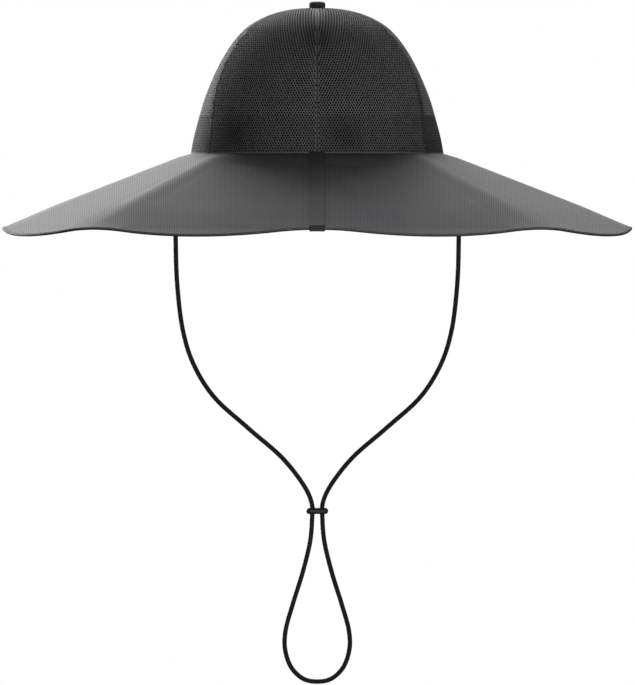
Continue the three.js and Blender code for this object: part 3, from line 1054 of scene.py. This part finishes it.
bandSize = {
    "width": 11.0, "thick": 0.8,
    "hem": 11.0,  # how far it reaches back under the brim
    "edge": 0.48, "edgeFrom": 0.86,  # how much its edges thin out, and from what share of the half width
    "selvedge": 0.8,  # width of its darker edges
    "stand": 0.6, "below": 0.2,  # clear of the cloth, and of the binding's lower edge
    "bend": 0.6,  # radius of its inner side where it goes round the rim
    "folded": 28.0,  # length of the darker end at the crown: doubled, and with painted shade from the crown
    "hookHeight": 2.2,  # how far up the front the painted shade reaches before the webbing goes under the rim
    "columns": 13,
}


def makeBand(size):
    zero = np.zeros(1)
    width = float(brimWidth(zero)[0])
    stand, bend = size["stand"], size["bend"]
    out = rimRadius + gap - brimSize["rim"] - bend  # where the bend round the rim starts
    under = brimSize["cloth"] * fall
    bottom = bindingSize["height"] + size["below"]
    side = np.linspace(-1, 1, size["columns"])
    x = side * size["width"] / 2
    quarter = np.linspace(0, math.pi / 2, 6)
    stations = np.concatenate([np.linspace(0.6, 14, 24), np.linspace(14, width, 80)[1:]])

    def line(grow):
        # distance from the crown, distance beyond the rim and drop, for a side of the webbing
        turn = bend + grow
        path = [(d, 0.0, -stand - grow) for d in stations]
        path += [(width, o, -stand - grow) for o in np.linspace(0, out, 4)[1:]]
        path += [(width, out + turn * math.sin(a), bend - stand - turn * math.cos(a)) for a in quarter]
        path += [(width, out + turn * math.cos(a), bottom - bend + turn * math.sin(a)) for a in quarter]
        path += [(width, o, bottom + grow) for o in np.linspace(out, 0, 4)[1:]]
        path += [(width - d, 0.0, under + stand + grow + (bottom - under - stand) * (1 - share) ** 2)
                 for d, share in zip(np.linspace(1, size["hem"], 10), np.linspace(0.1, 1, 10))]
        return path

    def face(grow):
        rows = []
        for distance, beyond, drop in line(grow):
            middle = brimTop(zero, distance)[0]
            sag = brimSurface(x, middle[1:2]) - brimSurface(zero, middle[1:2])
            rows.append(joined(x, middle[1] - beyond, middle[2] + sag - drop))
        return np.stack(rows[::-1])

    outer, inner = face(size["thick"]), face(0.0)
    rounding = size["edge"] * np.clip((np.abs(side) - size["edgeFrom"]) / (1 - size["edgeFrom"]), 0, 1) ** 2
    outer, inner = thinned(outer, inner, rounding / size["thick"])
    centre = size["columns"] // 2
    along = lengthAlong((outer + inner)[:, centre] / 2)
    fromCrown = along[-1] - along
    lowest = outer[:, centre, 2].argmin()  # where the webbing turns under the rim
    piece = shell("front_webbing", outer, inner, {"weave": joined(x, fromCrown[:, None])})
    return piece, fromCrown[lowest] - size["hookHeight"]


bandPiece, bandHook = makeBand(bandSize)
webbing = tapeFinish("dark_grey_webbing", 0.03, 0.11, 1.0, foldedShadedEnd=bandSize["folded"], hook=bandHook,
                     selvedge=bandSize["width"] / 2 - bandSize["selvedge"])
dress(bandPiece, ["front_band"], webbing)
print("front band hooked round the rim")


# Anchors of the cord under the brim

anchorSize = {"offset": 100.8, "length": 12.0, "width": 9.0, "height": 6.0, "sink": 0.5, "bevel": 0.9}


def makeAnchor(name, side, size):
    under = brimSize["cloth"] * fall + size["sink"]
    reach = size["offset"] + size["width"] / 2 * np.array([-1, 0, 1])
    top = facetHeight(reach, np.zeros(3)) - under
    bottom = top[1] - size["height"]
    half = size["length"] / 2
    points = [(side * x, y, z) for y in (-half, half)
              for x, z in ((reach[0], bottom), (reach[2], bottom), (reach[2], top[2]), (reach[0], top[0]))]
    faces = [[0, 1, 2, 3], [7, 6, 5, 4], [0, 4, 5, 1], [1, 5, 6, 2], [2, 6, 7, 3], [3, 7, 4, 0]]
    if side < 0:
        faces = [face[::-1] for face in faces]
    piece = meshObject(name, points, faces)
    bevel = piece.modifiers.new("rounded edges", "BEVEL")
    bevel.width = size["bevel"] * mm
    bevel.segments = 4
    return applyModifiers(piece, 50)


anchorPlastic = plasticFinish("black_anchor_plastic", 0.02, 0.5)
for side, name in ((1, "right"), (-1, "left")):
    piece = makeAnchor(f"anchor_tab_{name}", side, anchorSize)
    dress(piece, [f"cord_anchor_{name}"], anchorPlastic)
print("anchors placed")


# Studio: pale floor, white surroundings and soft lamps

studio = {
    "floorHeight": -460.0, "floorRadius": 2500.0,
    "floorTone": 0.95,
    "surroundings": 0.02,  # how much light comes from all round
}
lamps = {  # direction from the front and elevation in degrees, distance and size in metres, power in watts
    "back_left_low": (-150, 8, 3.2, 1.2, 108.0),
    "back_left": (-165, 35, 3.2, 2.0, 56.0),
    "back_left_high": (-165, 60, 3.2, 2.0, 18.0),
    "back_right": (165, 35, 3.2, 2.0, 38.0),
    "back_right_high": (165, 60, 3.2, 2.0, 6.0),
    "front_low": (-5, -14, 1.6, 1.0, 5.5),
    "front_right_low": (52, -14, 1.6, 1.0, 4.2),
}


def makeFloor(size):
    points = ringAt(96, size["floorRadius"], size["floorHeight"])
    floor = meshObject("floor", points, [list(range(len(points)))])
    finish = Finish("pale_floor", baseColor=grey(0.0), roughness=1.0, specularIorLevel=0.0,
                    emissionStrength=1.0)
    tone = finish.mix(finish.noise(3.0), grey(size["floorTone"]), grey(size["floorTone"] + 0.01))
    finish.feed(finish.shader.inputs["Emission Color"], tone)
    floor.data.materials.append(finish.material)
    floor.visible_diffuse = False  # an even backdrop that throws no light of its own on the hat
    floor.visible_glossy = False
    floor.visible_shadow = False


def makeSurroundings(size):
    # white to the camera, and much dimmer as a light
    world = bpy.data.worlds.new("white_surroundings")
    bpy.context.scene.world = world
    world.use_nodes = True
    nodes, links = world.node_tree.nodes, world.node_tree.links
    nodes.clear()
    choice = nodes.new("ShaderNodeMixShader")
    links.new(nodes.new("ShaderNodeLightPath").outputs["Is Camera Ray"], choice.inputs[0])
    for socket, strength in ((1, size["surroundings"]), (2, 1.0)):
        background = nodes.new("ShaderNodeBackground")
        background.inputs["Color"].default_value = (1, 1, 1, 1)
        background.inputs["Strength"].default_value = strength
        links.new(background.outputs[0], choice.inputs[socket])
    links.new(choice.outputs[0], nodes.new("ShaderNodeOutputWorld").inputs[0])


def hangLamp(name, direction, elevation, distance, size, power):
    lamp = addObject("lamp_" + name, bpy.data.lights.new("lamp_" + name, "AREA"))
    lamp.data.shape = "DISK"
    lamp.data.size = size
    lamp.data.energy = power
    turn, rise = map(math.radians, (direction, elevation))
    away = Vector((math.sin(turn) * math.cos(rise), -math.cos(turn) * math.cos(rise), math.sin(rise)))
    lamp.location = away * distance
    lamp.rotation_euler = (-away).to_track_quat("-Z", "Y").to_euler()
    lamp.visible_camera = False


makeFloor(studio)
makeSurroundings(studio)
for name, lamp in lamps.items():
    hangLamp(name, *lamp)
bpy.context.scene.view_settings.view_transform = "Standard"
print("studio lit")
